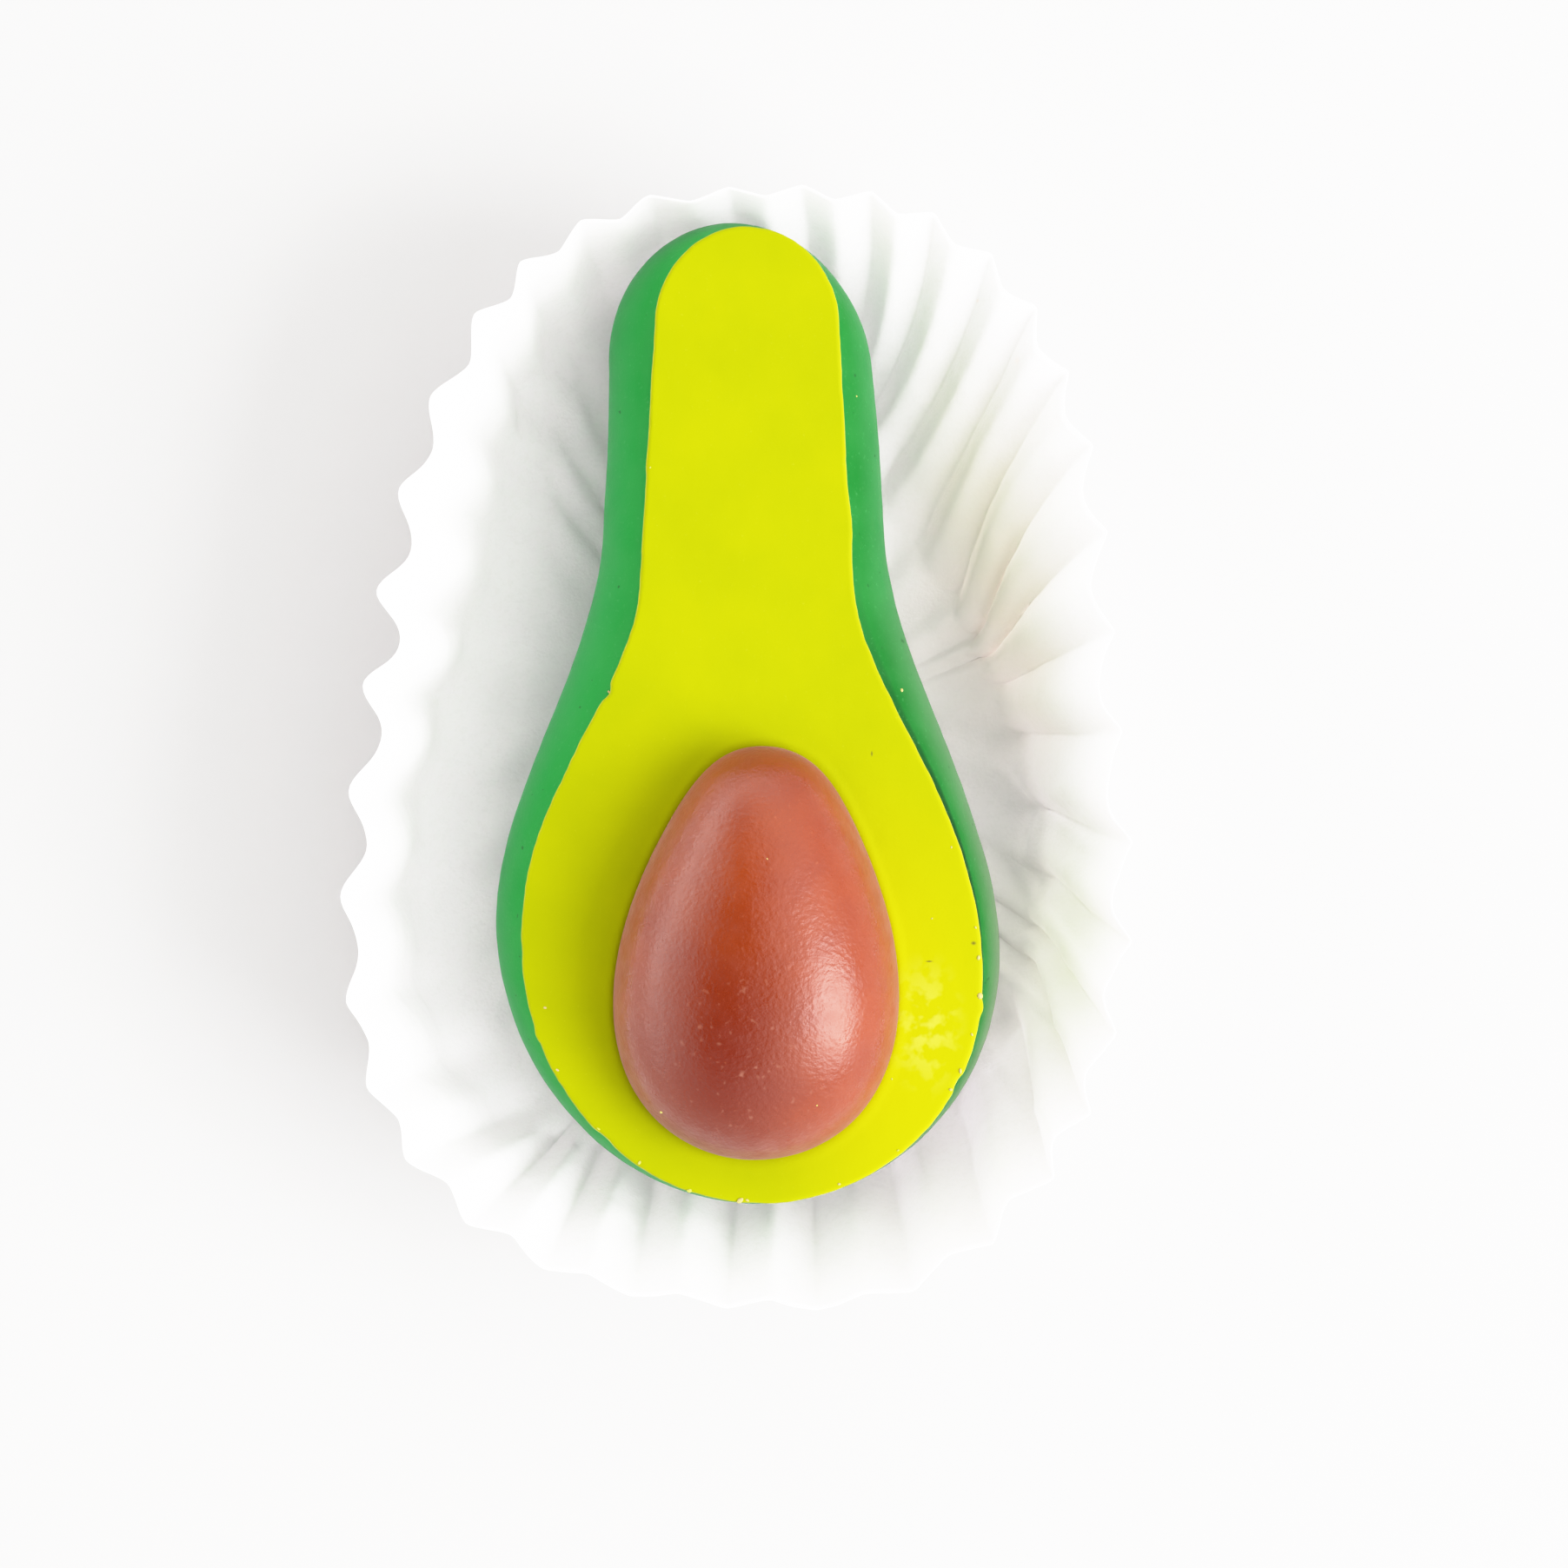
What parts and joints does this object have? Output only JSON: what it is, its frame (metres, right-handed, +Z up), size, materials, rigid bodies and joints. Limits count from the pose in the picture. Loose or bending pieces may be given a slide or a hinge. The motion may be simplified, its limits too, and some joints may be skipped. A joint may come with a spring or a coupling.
{
  "type": "marzipan fruit",
  "caption": "Moulded marzipan avocado half with a flat cut face and a domed stone, lying in a pressed-open fluted paper sweet case.",
  "frame": {"origin": "middle of the case's outline, on the table", "axes": "+Z up, +Y along the avocado toward its neck, +X to the right seen from above with the neck away"},
  "size_m": [0.0446, 0.0642, 0.0237],
  "materials": {
    "white_paper": "thin semi-translucent sweet-case paper, matt with a faint sheen",
    "green_marzipan": "fine-grained matt marzipan, coloured green",
    "lime_marzipan": "smooth fine-grained marzipan, coloured lime yellow, slightly greasy",
    "brown_marzipan": "satin glazed marzipan, coloured red-brown"
  },
  "bodies": {
    "root": {"paper_case": "white_paper", "skin_body": "green_marzipan", "flesh_face": "lime_marzipan", "stone": "brown_marzipan"}
  },
  "joints": []
}
